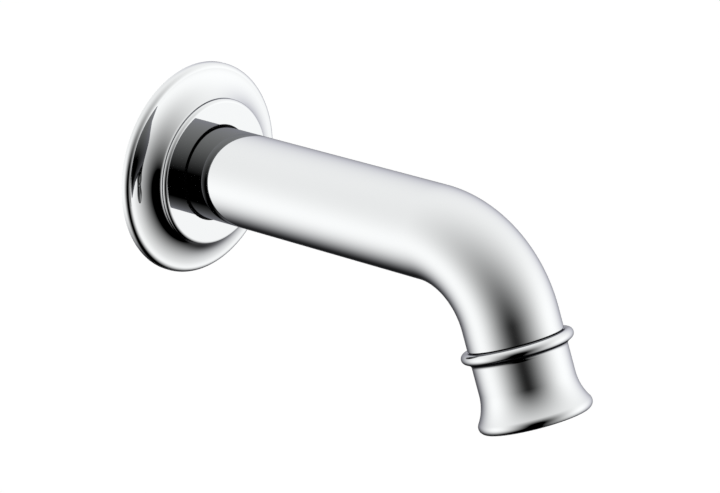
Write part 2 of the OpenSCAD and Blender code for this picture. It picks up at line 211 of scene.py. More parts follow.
join(room, rays.outputs["Is Camera Ray"], seen.inputs[0])
join(room, chosen.outputs[0], seen.inputs[1])
join(room, white.outputs[0], seen.inputs[2])
join(room, seen.outputs[0], add(room, "ShaderNodeOutputWorld").inputs["Surface"])
scene.view_settings.view_transform = "Standard"
print("patches:", len(ROOM_PATCHES))

# %% [markdown]
# ## Floor
# The spout is fixed to a wall, but the picture shows neither wall nor floor, only white. A pale floor
# lies well below, so that the spout's soft shadow on it falls outside the picture. For the camera a
# little glow lifts the matt floor to full white where nothing shades it, and the shadow stays. The
# floor can't be seen from underneath or in the chrome.

# %% Floor
FLOOR_DEPTH = 0.35
FLOOR_SIZE = 12.0
FLOOR_COLOUR = (0.9, 0.9, 0.9, 1)
FLOOR_GLOW = 0.2
floor_mesh = bpy.data.meshes.new("floor")
half = FLOOR_SIZE / 2
floor_mesh.from_pydata([(-half, -half, -FLOOR_DEPTH), (half, -half, -FLOOR_DEPTH),
                        (half, half, -FLOOR_DEPTH), (-half, half, -FLOOR_DEPTH)], [], [(0, 1, 2, 3)])
floor_object = bpy.data.objects.new("floor", floor_mesh)
scene.collection.objects.link(floor_object)
floor_material = bpy.data.materials.new("pale floor")
floor_material.use_nodes = True
tree = floor_material.node_tree
tree.nodes.clear()
matt = add(tree, "ShaderNodeBsdfDiffuse", inputs={"Color": FLOOR_COLOUR})
glow = add(tree, "ShaderNodeEmission", inputs={"Color": WHITE, "Strength": FLOOR_GLOW})
lifted = add(tree, "ShaderNodeAddShader")
join(tree, matt.outputs[0], lifted.inputs[0])
join(tree, glow.outputs[0], lifted.inputs[1])
clear = add(tree, "ShaderNodeBsdfTransparent")
rays = add(tree, "ShaderNodeLightPath")
side = add(tree, "ShaderNodeNewGeometry")
to_camera = add(tree, "ShaderNodeMixShader")
join(tree, rays.outputs["Is Camera Ray"], to_camera.inputs[0])
join(tree, matt.outputs[0], to_camera.inputs[1])
join(tree, lifted.outputs[0], to_camera.inputs[2])
from_below = add(tree, "ShaderNodeMixShader")
join(tree, side.outputs["Backfacing"], from_below.inputs[0])
join(tree, to_camera.outputs[0], from_below.inputs[1])
join(tree, clear.outputs[0], from_below.inputs[2])
join(tree, from_below.outputs[0], add(tree, "ShaderNodeOutputMaterial").inputs["Surface"])
floor_mesh.materials.append(floor_material)
floor_object.visible_glossy = False
print("floor", FLOOR_SIZE, "m wide,", FLOOR_DEPTH, "m down")

# %% [markdown]
# ## Sizes of the spout
# The three plated pieces are drawn again here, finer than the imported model: a mirror shows every
# facet. They have the sizes of the model, all in millimetres, with distances counted out from the
# wall for the flange and the tube, and from the end of the bend for the nozzle. A few forms go beyond
# the model, because only a mirror shows them: the flange's disc and cove are up to 0.6 mm fuller,
# there is a seam line above the bead, and a groove and a small fillet under it.

# %% Sizes
HAIR = 0.01
TUBE_R = 16.0
TUBE_WALL = 1.5
TUBE_BACK = 1.0
STRAIGHT = 106.0
BEND_R = 34.0
BEND_TURN = math.radians(70)
BEAD_AT = 8.8
MOUTH_AT = 34.0
print("tube", 2 * TUBE_R, "mm, reach", round(STRAIGHT + BEND_R * math.sin(BEND_TURN)
                                             + MOUTH_AT * math.cos(BEND_TURN), 1), "mm")

# %% [markdown]
# ## Finish: marks and grain that several metals share
# New plating isn't perfectly even: wiping leaves faint cloudy smears that only show as a slightly
# softer reflection, and turned brass keeps the fine rings of the tool. Both are used by more than one
# metal, so each is a group that gives out a mask or a height, and the material decides what to do
# with it.

# %% Smear group
SMEAR_FROM, SMEAR_TO = 0.35, 0.75


def smear_group():
    """Cloudy smears, from 0 to 1, on the piece's own coordinates."""
    tree, given, result = group_tree(
        "ShaderNodeTree", "wiped smears",
        [("Cloud Size", "NodeSocketFloat", 0.02), ("Stretch", "NodeSocketFloat", 3.0)],
        [("Smear", "NodeSocketFloat")])
    place = add(tree, "ShaderNodeTexCoord").outputs["Object"]
    per_size = math_node(tree, "DIVIDE", 1.0, given.outputs["Cloud Size"])
    across = math_node(tree, "MULTIPLY", per_size, given.outputs["Stretch"])
    scale = add(tree, "ShaderNodeCombineXYZ")
    join(tree, across, scale.inputs["X"])
    join(tree, per_size, scale.inputs["Y"])
    join(tree, across, scale.inputs["Z"])
    stretched = add(tree, "ShaderNodeVectorMath", operation="MULTIPLY")
    join(tree, place, stretched.inputs[0])
    join(tree, scale.outputs[0], stretched.inputs[1])
    cloud = add(tree, "ShaderNodeTexNoise", inputs={"Scale": 1.0, "Detail": 4.0, "Roughness": 0.6})
    join(tree, stretched.outputs[0], cloud.inputs["Vector"])
    contrast = add(tree, "ShaderNodeMapRange", interpolation_type="SMOOTHSTEP",
                   inputs={"From Min": SMEAR_FROM, "From Max": SMEAR_TO})
    join(tree, cloud.outputs[0], contrast.inputs["Value"])
    join(tree, contrast.outputs[0], result.inputs["Smear"])
    return tree


smears = smear_group()
print("group:", smears.name)

# %% Turning ring group
def turning_group():
    """The height of fine tool rings round the axis that runs straight out of the wall."""
    tree, given, result = group_tree(
        "ShaderNodeTree", "turning rings",
        [("Ring Pitch", "NodeSocketFloat", 0.0002), ("Unevenness", "NodeSocketFloat", 0.6)],
        [("Height", "NodeSocketFloat")])
    place = add(tree, "ShaderNodeSeparateXYZ")
    join(tree, add(tree, "ShaderNodeTexCoord").outputs["Object"], place.inputs[0])
    radius = math_node(tree, "SQRT", math_node(
        tree, "ADD", math_node(tree, "MULTIPLY", place.outputs["X"], place.outputs["X"]),
        math_node(tree, "MULTIPLY", place.outputs["Z"], place.outputs["Z"])))
    travel = math_node(tree, "SUBTRACT", radius, place.outputs["Y"])
    rings = math_node(tree, "DIVIDE", travel, given.outputs["Ring Pitch"])
    along = add(tree, "ShaderNodeTexNoise", noise_dimensions="1D", inputs={"Scale": 1.0, "Detail": 2.0})
    join(tree, rings, along.inputs["W"])
    height = math_node(tree, "MULTIPLY", along.outputs[0], given.outputs["Unevenness"])
    join(tree, height, result.inputs["Height"])
    return tree


turning = turning_group()
print("group:", turning.name)

# %% [markdown]
# ## Materials
# Every finish is a Principled shader with something of its own: smears and a hardly visible waviness
# for the plating, tool rings and tarnish for the bare brass, mould grain for plastic and rubber,
# pressed fibres for the washer. What is the same all over is set on the shader itself. Chrome is a
# little bluish where one looks along it, which the edge tint gives. In the flange's bore and right
# under the bead, shade is painted: those faces carry a mark, and the material reads it as an
# attribute and makes the plating near-black and rough there.

# %% Material helper
def new_material(name, **values):
    """A material with one Principled shader, and that shader."""
    material = bpy.data.materials.new(name)
    material.use_nodes = True
    shader = material.node_tree.nodes["Principled BSDF"]
    for socket, value in values.items():
        shader.inputs[socket.replace("_", " ")].default_value = value
    return material, material.node_tree, shader


def ramp_to(tree, value, low, high, socket):
    """Sets a socket between low and high as value goes from 0 to 1."""
    spread = add(tree, "ShaderNodeMapRange", inputs={"To Min": low, "To Max": high})
    join(tree, value, spread.inputs["Value"])
    join(tree, spread.outputs[0], socket)


def bump(tree, height, distance, strength, shader):
    """Feeds a height into the shader's normal."""
    node = add(tree, "ShaderNodeBump", inputs={"Distance": distance, "Strength": strength})
    join(tree, height, node.inputs["Height"])
    join(tree, node.outputs["Normal"], shader.inputs["Normal"])


def noise(tree, scale, detail=3.0, roughness=0.5):
    """Noise on the piece's own coordinates."""
    settings = {"Scale": scale, "Detail": detail, "Roughness": roughness}
    node = add(tree, "ShaderNodeTexNoise", inputs=settings)
    join(tree, add(tree, "ShaderNodeTexCoord").outputs["Object"], node.inputs["Vector"])
    return node.outputs[0]


# %% Chrome
CHROME = (0.886, 0.9, 0.903, 1)
EDGE_TINT = (0.9, 0.9, 1.0, 1)
# Painted shade: the near-black colour and the roughness of the faces in the flange's bore and under the
# bead
PAINTED_SHADE_COLOUR = (0.03, 0.03, 0.032, 1)
PAINTED_SHADE_ROUGHNESS = 0.5
PAINTED_SHADE_MARK = "painted_shade"
WAVE_SCALE = 60.0


def chrome(name, cloud_size, stretch, clean, smeared, waviness):
    """Plating with faint smears in its gloss and a slow waviness far below what the eye calls a dent."""
    material, tree, shader = new_material(name, Base_Color=CHROME, Specular_Tint=EDGE_TINT, Metallic=1.0)
    marks = add(tree, "ShaderNodeGroup", node_tree=smears,
                inputs={"Cloud Size": cloud_size, "Stretch": stretch})
    ramp_to(tree, marks.outputs["Smear"], clean, smeared, shader.inputs["Roughness"])
    bump(tree, noise(tree, scale=WAVE_SCALE, detail=1.0), waviness, strength=1.0, shader=shader)
    return material


def paint_shade_where_marked(material):
    """Paints shade on the faces that carry the painted-shade mark: a near-black colour and rough
    plating.
    """
    tree = material.node_tree
    shader = tree.nodes["Principled BSDF"]
    shade_mark = add(tree, "ShaderNodeAttribute", attribute_name=PAINTED_SHADE_MARK).outputs["Fac"]
    colour = add(tree, "ShaderNodeMix", data_type="RGBA")
    colour.inputs["A"].default_value = CHROME
    colour.inputs["B"].default_value = PAINTED_SHADE_COLOUR
    join(tree, shade_mark, colour.inputs["Factor"])
    join(tree, colour.outputs["Result"], shader.inputs["Base Color"])
    polished = shader.inputs["Roughness"].links[0].from_socket
    rough = math_node(tree, "MAXIMUM", polished, math_node(tree, "MULTIPLY", shade_mark, PAINTED_SHADE_ROUGHNESS))
    join(tree, rough, shader.inputs["Roughness"])


finishes = {
    "tube_chrome": chrome("tube chrome", cloud_size=0.03, stretch=2.0,
                          clean=0.015, smeared=0.03, waviness=0.000002),
    "flange_chrome": chrome("flange chrome", cloud_size=0.02, stretch=1.0,
                            clean=0.012, smeared=0.025, waviness=0.000001),
    "nozzle_chrome": chrome("nozzle chrome", cloud_size=0.015, stretch=1.5,
                            clean=0.015, smeared=0.03, waviness=0.000001),
    "sleeve_chrome": chrome("sleeve chrome", cloud_size=0.008, stretch=1.0,
                            clean=0.08, smeared=0.16, waviness=0.000003),
}
# Painted shade on the marked faces of the flange and the nozzle
paint_shade_where_marked(finishes["flange_chrome"])
paint_shade_where_marked(finishes["nozzle_chrome"])
print("chrome finishes:", len(finishes))

# %% [markdown]
# ### Bare brass
# The nipple and the bush aren't plated. Turned brass is warm yellow when fresh and goes brown in
# patches, so the two colours are mixed by noise. The tool's rings go into the bump only, because they
# are too fine to model.

# %% Bare brass
FRESH_BRASS = (0.78, 0.58, 0.27, 1)
TARNISHED_BRASS = (0.55, 0.38, 0.17, 1)


def bare_brass():
    """Turned brass: tool rings in the bump, and a brownish tarnish that gathers in clouds."""
    material, tree, shader = new_material("bare brass", Metallic=1.0)
    tarnish = add(tree, "ShaderNodeValToRGB")
    tarnish.color_ramp.elements[0].position = 0.35
    tarnish.color_ramp.elements[0].color = FRESH_BRASS
    tarnish.color_ramp.elements[1].position = 0.8
    tarnish.color_ramp.elements[1].color = TARNISHED_BRASS
    join(tree, noise(tree, scale=140.0, detail=5.0, roughness=0.6), tarnish.inputs[0])
    join(tree, tarnish.outputs[0], shader.inputs["Base Color"])
    marks = add(tree, "ShaderNodeGroup", node_tree=smears, inputs={"Cloud Size": 0.006, "Stretch": 1.0})
    ramp_to(tree, marks.outputs["Smear"], low=0.2, high=0.36, socket=shader.inputs["Roughness"])
    rings = add(tree, "ShaderNodeGroup", node_tree=turning, inputs={"Ring Pitch": 0.00018})
    bump(tree, rings.outputs["Height"], distance=0.00001, strength=0.7, shader=shader)
    return material


finishes["bare_brass"] = bare_brass()
print("finish:", finishes["bare_brass"].name)

# %% [markdown]
# ### Steel
# The screens are woven from drawn wire, and the locking screw is of a darker steel. One function makes
# both, each with its own colour, gloss and pitch of the rings.

# %% Steel
def steel(name, color, low, high, pitch):
    """Drawn or turned stainless steel: fine rings and an uneven gloss."""
    material, tree, shader = new_material(name, Base_Color=color, Metallic=1.0)
    marks = add(tree, "ShaderNodeGroup", node_tree=smears, inputs={"Cloud Size": 0.002, "Stretch": 1.0})
    ramp_to(tree, marks.outputs["Smear"], low, high, shader.inputs["Roughness"])
    rings = add(tree, "ShaderNodeGroup", node_tree=turning, inputs={"Ring Pitch": pitch})
    bump(tree, rings.outputs["Height"], distance=0.000008, strength=0.6, shader=shader)
    return material


finishes["steel_wire"] = steel("steel wire", (0.6, 0.6, 0.6, 1), low=0.2, high=0.35, pitch=0.0001)
finishes["screw_steel"] = steel("screw steel", (0.36, 0.36, 0.37, 1), low=0.25, high=0.4, pitch=0.0002)
print("steel finishes: 2")

# %% [markdown]
# ### Rubber, fibre and plastic
# Moulded and pressed pieces have no clear gloss: the mould leaves a fine grain, and the colour is
# cloudy. One function makes all four, from two close colours and the size and depth of the grain.

# %% Rubber, fibre and plastic
CLOUDS_TO_GRAIN = 0.1


def moulded(name, color, cloud_color, grain, depth, low, high, **values):
    """A moulded or pressed material: cloudy colour, mould grain and an uneven gloss."""
    material, tree, shader = new_material(name, **values)
    clouds = add(tree, "ShaderNodeMix", data_type="RGBA")
    clouds.inputs["A"].default_value = color
    clouds.inputs["B"].default_value = cloud_color
    cloud = noise(tree, scale=grain * CLOUDS_TO_GRAIN, detail=4.0, roughness=0.6)
    join(tree, cloud, clouds.inputs["Factor"])
    join(tree, clouds.outputs["Result"], shader.inputs["Base Color"])
    fine = noise(tree, scale=grain, detail=3.0, roughness=0.6)
    ramp_to(tree, fine, low, high, shader.inputs["Roughness"])
    bump(tree, fine, depth, strength=0.8, shader=shader)
    return material


finishes["black_rubber"] = moulded("black rubber", (0.028, 0.028, 0.03, 1), (0.045, 0.045, 0.045, 1),
                                   grain=2500.0, depth=0.00002, low=0.5, high=0.7,
                                   Specular_IOR_Level=0.35)
finishes["red_fibre"] = moulded("red fibre", (0.42, 0.08, 0.05, 1), (0.3, 0.05, 0.035, 1),
                                grain=1800.0, depth=0.00004, low=0.75, high=0.9,
                                Specular_IOR_Level=0.25)
finishes["white_plastic"] = moulded("white plastic", (0.8, 0.8, 0.77, 1), (0.74, 0.74, 0.71, 1),
                                    grain=1500.0, depth=0.000008, low=0.3, high=0.45)
finishes["grille_plastic"] = moulded("grille plastic", (0.6, 0.62, 0.64, 1), (0.54, 0.56, 0.58, 1),
                                     grain=1500.0, depth=0.000006, low=0.22, high=0.34)
print("finishes:", len(finishes))

# %% [markdown]
# ## Turned pieces
# The flange, the nozzle and the nipple come off a lathe: one outline, turned round an axis. A Screw
# modifier could do that too, but here the outline is swept round a circle in Geometry Nodes, because
# the tube and the nipple then add a rule of their own to the same tree. The outline is a ring of
# points with true arcs. Next to every arc a straight stretch gets one extra point close by, so that its
# shading stays flat right up to the arc.

# %% Outline helpers
ARC_STEP = math.radians(2)
SUPPORT = 0.04
LONG_STRETCH = 0.8


def arc(centre, radius, start, end):
    """Points of an arc in (radius, distance), from one angle to another, in degrees."""
    start, end = math.radians(start), math.radians(end)
    count = max(3, math.ceil(abs(end - start) / ARC_STEP))
    return [(centre[0] + radius * math.cos(start + (end - start) * i / count),
             centre[1] + radius * math.sin(start + (end - start) * i / count)) for i in range(count + 1)]


def rows(radius, start, end, step):
    """Evenly spaced points of a straight stretch along the axis."""
    count = math.ceil(abs(end - start) / step)
    return [(radius, start + (end - start) * i / count) for i in range(count + 1)]


def supported(outline):
    """The closed outline, with a point close to both ends of each long straight stretch."""
    points = []
    for here, there in zip(outline, outline[1:] + outline[:1]):
        points.append(here)
        span = math.dist(here, there)
        if span > LONG_STRETCH:
            for share in (SUPPORT / span, 1 - SUPPORT / span):
                points.append(tuple(a + (b - a) * share for a, b in zip(here, there)))
    return points


print("arc step", round(math.degrees(ARC_STEP), 1), "degrees")

# %% Turned piece in Geometry Nodes
SWEEP_R = 1.0


def turned_tree():
    """Sweeps an outline mesh, drawn as (radius, distance), round a circle about the Z axis."""
    tree, given, result = group_tree(
        "GeometryNodeTree", "turned piece",
        [("Outline", "NodeSocketGeometry", None), ("Steps Round", "NodeSocketInt", 256),
         ("Sweep Radius", "NodeSocketFloat", SWEEP_R * MM), ("Material", "NodeSocketMaterial", None)],
        [("Geometry", "NodeSocketGeometry")])
    outline = add(tree, "GeometryNodeMeshToCurve")
    join(tree, given.outputs["Outline"], outline.inputs[0])
    circle = add(tree, "GeometryNodeCurvePrimitiveCircle")
    join(tree, given.outputs["Steps Round"], circle.inputs["Resolution"])
    join(tree, given.outputs["Sweep Radius"], circle.inputs["Radius"])
    upright = add(tree, "GeometryNodeSetCurveNormal", mode="Z_UP")
    join(tree, circle.outputs["Curve"], upright.inputs["Curve"])
    sweep = add(tree, "GeometryNodeCurveToMesh")
    join(tree, upright.outputs[0], sweep.inputs["Curve"])
    join(tree, outline.outputs[0], sweep.inputs["Profile Curve"])
    finish_tree(tree, given, sweep.outputs[0], result)
    return tree


def finish_tree(tree, given, shape, result):
    """The last two nodes of every shape tree: real geometry, with its material."""
    real = add(tree, "GeometryNodeRealizeInstances")
    join(tree, shape, real.inputs[0])
    painted = add(tree, "GeometryNodeSetMaterial")
    join(tree, real.outputs[0], painted.inputs["Geometry"])
    join(tree, given.outputs["Material"], painted.inputs["Material"])
    join(tree, painted.outputs[0], result.inputs["Geometry"])


turned_piece = turned_tree()
print("tree:", turned_piece.name, len(turned_piece.nodes), "nodes")

# %% [markdown]
# ### From a tree to a finished piece
# The tree's result is turned into a plain mesh and moved to its place, so that every finished object
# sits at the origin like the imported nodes. Then its seams are closed, its faces point outwards, and
# only real corners stay sharp.

# %% From a tree to a finished piece
SAME_POINT = 0.0000005
CREASE = math.radians(30)
OUT_OF_WALL = Matrix.Rotation(math.radians(90), 4, "X")
bend_out, bend_drop = STRAIGHT + BEND_R * math.sin(BEND_TURN), BEND_R * (1 - math.cos(BEND_TURN))
bend_end = Vector((0, -bend_out, -bend_drop)) * MM
DOWN_OUTLET = Matrix.Translation(bend_end) @ Matrix.Rotation(math.radians(90) + BEND_TURN, 4, "X")


def run_tree(tree, source_mesh, name, inputs):
    """The tree's result on a mesh, as a plain mesh with no modifier left."""
    carrier = bpy.data.objects.new(name, source_mesh)
    scene.collection.objects.link(carrier)
    modifier = carrier.modifiers.new(name, "NODES")
    modifier.node_group = tree
    for item in tree.interface.items_tree:
        if item.in_out == "INPUT" and item.name in inputs:
            modifier[item.identifier] = inputs[item.name]
    made = bpy.data.meshes.new_from_object(carrier.evaluated_get(bpy.context.evaluated_depsgraph_get()))
    carrier.modifiers.clear()
    bpy.data.objects.remove(carrier)
    made.name = name
    return made


def finish_mesh(mesh):
    """Closes seams, points faces outwards and keeps only real corners sharp."""
    shape = bmesh.new()
    shape.from_mesh(mesh)
    bmesh.ops.remove_doubles(shape, verts=shape.verts, dist=SAME_POINT)
    bmesh.ops.recalc_face_normals(shape, faces=shape.faces)
    shape.to_mesh(mesh)
    shape.free()
    mesh.shade_smooth()
    mesh.set_sharp_from_angle(angle=CREASE)


def turned(name, points, frame_matrix, material, tree=None, steps=256, painted_shade=None, **inputs):
    """A turned piece: the outline's points in millimetres, swept and then set in its place. Faces for
    which the given test of (radius, distance) holds get the mark for painted shade."""
    source = bpy.data.meshes.new(name + " outline")
    source.from_pydata([((r - SWEEP_R) * MM, -s * MM, 0) for r, s in points],
                       [(i, (i + 1) % len(points)) for i in range(len(points))], [])
    given = {socket.replace("_", " "): value for socket, value in inputs.items()}
    given.update({"Steps Round": steps, "Sweep Radius": SWEEP_R * MM, "Material": material})
    mesh = run_tree(tree or turned_piece, source, name, given)
    # Marks the faces on which shade is painted
    if painted_shade:
        mark = mesh.attributes.new(PAINTED_SHADE_MARK, "FLOAT", "FACE")
        for face in mesh.polygons:
            side, up, along = face.center / MM
            mark.data[face.index].value = float(painted_shade(math.hypot(side, up), along))
    mesh.transform(frame_matrix)
    finish_mesh(mesh)
    return mesh


def place(name, mesh, slot, replaced):
    """A finished piece at the origin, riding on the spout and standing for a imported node."""
    piece = bpy.data.objects.new(name, mesh)
    scene.collection.objects.link(piece)
    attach(piece, "root")
    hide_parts(replaced)
    print(name, len(mesh.polygons), "faces,", [material.name for material in mesh.materials])


print("the outlet points along", [round(v, 3) for v in DOWN_OUTLET.to_3x3() @ Vector((0, 0, 1))])

# %% [markdown]
# ## The wall flange
# The flange covers the hole in the tiles. It is the piece that gives this spout its character: a flat
# disc with a softly rounded edge and a fine groove under it, then a cove of three arcs that run into
# each other, and a rolled rim. Every dark leaf and bright line on it follows from these radii, so the
# outline is built from circles that touch, the way it would be struck with compasses on paper. It is
# swept in more steps than the other pieces, because the narrow groove shows the facets first.

# %% Flange
FLANGE_R = 36.75
EDGE_H = 0.97
RIM_R = 1.89
DISC_R = 25.48
DISC_H = 9.66
DISC_ROUND = 1.31
DISC_SIDE = 0.3
GROOVE_R = 25.0
FOOT_START_R = 25.31
FOOT_H = 7.93
FOOT_R = 1.3
VALLEY_R = 7.8
VALLEY_DIP = 0.01
VALLEY_SLOPE = 9.4
BACK_RELIEF = 0.4
RELIEF_START_R = 26.0
HOLE_R = TUBE_R + 0.75
SEAL_R = HOLE_R + 5.2
SEAL_T = 4.0
RING_SEAT_R = TUBE_R + 1.97
RING_SEAT_W = 3.12
RING_SEAT_AT = 6.65
SEAL_MARGIN = 0.1


def cove():
    """The points of the cove, from the foot of the disc over the rim to the plain edge."""
    crest_turn = math.acos(1 - VALLEY_DIP / (RIM_R + VALLEY_R))
    rim = Vector((FLANGE_R - RIM_R, EDGE_H))
    valley = rim + (RIM_R + VALLEY_R) * Vector((-math.sin(crest_turn), math.cos(crest_turn)))
    foot = Vector((FOOT_START_R + FOOT_R, FOOT_H))
    slope = math.radians(VALLEY_SLOPE)
    up_slope = Vector((math.sin(slope), math.cos(slope)))
    across, apart = valley - foot, VALLEY_R - FOOT_R
    extra = (across.dot(across) - apart * apart) / (2 * (apart - across.dot(up_slope)))
    middle = valley + extra * up_slope
    steep = math.degrees(math.atan2(*(middle - foot)))
    points = arc(foot, FOOT_R, 180, 270 - steep)
    points += arc(middle, VALLEY_R + extra, 270 - steep, 270 - VALLEY_SLOPE)[1:]
    points += arc(valley, VALLEY_R, 270 - VALLEY_SLOPE, 270 + math.degrees(crest_turn))[1:]
    points += arc(rim, RIM_R, 90 + math.degrees(crest_turn), 0)[1:]
    return points


def flange_outline():
    """Bore, face, rounded edge, groove, cove and rim, and then the hollow back."""
    ring_low, ring_high = RING_SEAT_AT - RING_SEAT_W / 2, RING_SEAT_AT + RING_SEAT_W / 2
    over_rim = cove()
    relief_r = min(over_rim, key=lambda point: abs(point[0] - FLANGE_R + RIM_R))[0]
    side_low = DISC_H - DISC_ROUND - DISC_SIDE
    outline = [(HOLE_R, DISC_H)]
    outline += arc((DISC_R - DISC_ROUND, DISC_H - DISC_ROUND), DISC_ROUND, 90, 0)
    outline += [(DISC_R, side_low), (GROOVE_R, side_low), (GROOVE_R, FOOT_H)] + over_rim
    outline += [(FLANGE_R, 0), (relief_r, 0), (relief_r, BACK_RELIEF)]
    outline += [(RELIEF_START_R, BACK_RELIEF), (RELIEF_START_R, 0)]
    outline += [(SEAL_R, 0), (SEAL_R, SEAL_T), (HOLE_R, SEAL_T), (HOLE_R, ring_low)]
    outline += [(RING_SEAT_R, ring_low), (RING_SEAT_R, ring_high), (HOLE_R, ring_high)]
    return outline


def bore_with_painted_shade(radius, distance):
    """Whether a face lies between the tube and the flange, or in the seal's seat: shade is painted
    there.
    """
    return radius < SEAL_R - SEAL_MARGIN and HAIR < distance < DISC_H - HAIR


# The bore gets painted shade, for the dark gap between the tube and the flange.
flange_mesh = turned("flange", supported(flange_outline()), OUT_OF_WALL, finishes["flange_chrome"],
                     steps=512, painted_shade=bore_with_painted_shade)
place("flange", flange_mesh, "flange_chrome", "wall_flange")

# %% [markdown]
# ## The spout tube
# The tube is drawn brass, bent cold on a machine: straight, then an exact arc, then a short straight
# end. A curve with a bevel would do, but its rings are hard to place. Here a straight tube is turned
# first, and one rule in the tree then moves every point: its distance along the tube says how far it
# has gone round the bend, and its height above the axis says how far out it lies. A narrow V groove
# near the end is the seam where the nozzle's collar closes on the tube.

# %% Bending rule
def bent_tree():
    """A turned piece along Z, bent towards -Y after a straight stretch."""
    tree, given, result = group_tree(
        "GeometryNodeTree", "bent tube",
        [("Outline", "NodeSocketGeometry", None), ("Steps Round", "NodeSocketInt", 192),
         ("Sweep Radius", "NodeSocketFloat", SWEEP_R * MM), ("Straight", "NodeSocketFloat", 0.1),
         ("Bend Radius", "NodeSocketFloat", 0.03), ("Bend Turn", "NodeSocketFloat", 1.0),
         ("Material", "NodeSocketMaterial", None)], [("Geometry", "NodeSocketGeometry")])
    straight_piece = add(tree, "GeometryNodeGroup", node_tree=turned_piece)
    for name in ("Outline", "Steps Round", "Sweep Radius", "Material"):
        join(tree, given.outputs[name], straight_piece.inputs[name])
    straight, bend_r, turn = (given.outputs[name] for name in ("Straight", "Bend Radius", "Bend Turn"))
    place_in = add(tree, "ShaderNodeSeparateXYZ")
    join(tree, add(tree, "GeometryNodeInputPosition").outputs[0], place_in.inputs[0])
    side, height, along = place_in.outputs
    past = math_node(tree, "SUBTRACT", along, straight)
    angle = math_node(tree, "MINIMUM", math_node(
        tree, "MAXIMUM", math_node(tree, "DIVIDE", past, bend_r), 0.0), turn)
    tail = math_node(tree, "MAXIMUM", math_node(
        tree, "SUBTRACT", past, math_node(tree, "MULTIPLY", bend_r, turn)), 0.0)
    first = math_node(tree, "MINIMUM", along, straight)
    sine, cosine = math_node(tree, "SINE", angle), math_node(tree, "COSINE", angle)
    out = math_node(tree, "ADD", bend_r, height)
    new_height = math_node(tree, "SUBTRACT", math_node(
        tree, "SUBTRACT", math_node(tree, "MULTIPLY", out, cosine), bend_r),
        math_node(tree, "MULTIPLY", tail, sine))
    new_along = math_node(tree, "ADD", math_node(
        tree, "ADD", first, math_node(tree, "MULTIPLY", out, sine)),
        math_node(tree, "MULTIPLY", tail, cosine))
    placed = add(tree, "ShaderNodeCombineXYZ")
    for source, target in zip((side, new_height, new_along), placed.inputs):
        join(tree, source, target)
    moved = add(tree, "GeometryNodeSetPosition")
    join(tree, straight_piece.outputs[0], moved.inputs["Geometry"])
    join(tree, placed.outputs[0], moved.inputs["Position"])
    finish_tree(tree, given, moved.outputs[0], result)
    return tree


bent_tube = bent_tree()
print("tree:", bent_tube.name, len(bent_tube.nodes), "nodes")

# %% Tube
OUTER_ROW = 0.75
INNER_ROW = 1.5
GRUB_AT = 13.0
GRUB_HOLE_R = 3.1
SEAM_UP = 1.9
SEAM_W = 0.5
SEAM_DEPTH = 0.8


def drill(mesh, cutter_mesh):
    """Takes a cutter out of a mesh and leaves a plain mesh."""
    body = bpy.data.objects.new("body", mesh)
    cutter = bpy.data.objects.new("cutter", cutter_mesh)
    for thing in (body, cutter):
        scene.collection.objects.link(thing)
    cut = body.modifiers.new("drill", "BOOLEAN")
    cut.operation, cut.solver, cut.object = "DIFFERENCE", "EXACT", cutter
    made = bpy.data.meshes.new_from_object(body.evaluated_get(bpy.context.evaluated_depsgraph_get()))
    for thing in (body, cutter):
        bpy.data.objects.remove(thing)
    return made


def screw_drill():
    """A round cutter that comes up into the tube from below, where the locking screw sits."""
    shape = bmesh.new()
    bmesh.ops.create_cone(shape, cap_ends=True, segments=96, radius1=GRUB_HOLE_R * MM,
                          radius2=GRUB_HOLE_R * MM, depth=TUBE_R * MM,
                          matrix=Matrix.Translation(Vector((0, -GRUB_AT, -TUBE_R)) * MM))
    mesh = bpy.data.meshes.new("screw drill")
    shape.to_mesh(mesh)
    shape.free()
    return mesh


tube_length = STRAIGHT + BEND_R * BEND_TURN + BEAD_AT
seam_at = tube_length - SEAM_UP
tube_outline = rows(TUBE_R, TUBE_BACK, seam_at - SEAM_W / 2, OUTER_ROW)
tube_outline += [(TUBE_R - SEAM_DEPTH, seam_at)]
tube_outline += rows(TUBE_R, seam_at + SEAM_W / 2, tube_length, OUTER_ROW)
tube_outline += rows(TUBE_R - TUBE_WALL, tube_length, TUBE_BACK, INNER_ROW)
tube_mesh = turned("tube", tube_outline, OUT_OF_WALL, finishes["tube_chrome"], bent_tube, steps=192,
                   Straight=STRAIGHT * MM, Bend_Radius=BEND_R * MM, Bend_Turn=BEND_TURN)
tube_mesh = drill(tube_mesh, screw_drill())
finish_mesh(tube_mesh)
place("tube", tube_mesh, "tube_chrome", "spout_tube")

# %% [markdown]
# ## The nozzle
# The nozzle is turned from thicker stock and soldered to the tube's end. Its half-round bead hides the
# joint, the hollow flare ends in a full round lip, and the bore inside takes the flow cartridge. Under
# the bead a narrow groove and a small fillet lead over to the barrel, and shade is painted on the bead's
# underside and in the groove: together they make the black line that fades out softly downwards.

# %% Nozzle
BEAD_R = 1.8
BEAD_PROUD = 2.7
MOUTH_R = 19.0
FLARE_R = 17.0
LIP_R = 2.3
SPIGOT_LEN = 5.0
WATERWAY_R = 12.0
CARTRIDGE_R = 13.8
CARTRIDGE_UP = 5.5
CARTRIDGE_TOP = 17.0
JOINT_GAP = 0.05
FILLET_R = 1.4
FILLET_TURN = 60
GROOVE_W = 0.4
GROOVE_DEPTH = 0.9
BEAD_FOOT_R = TUBE_R + 2.1


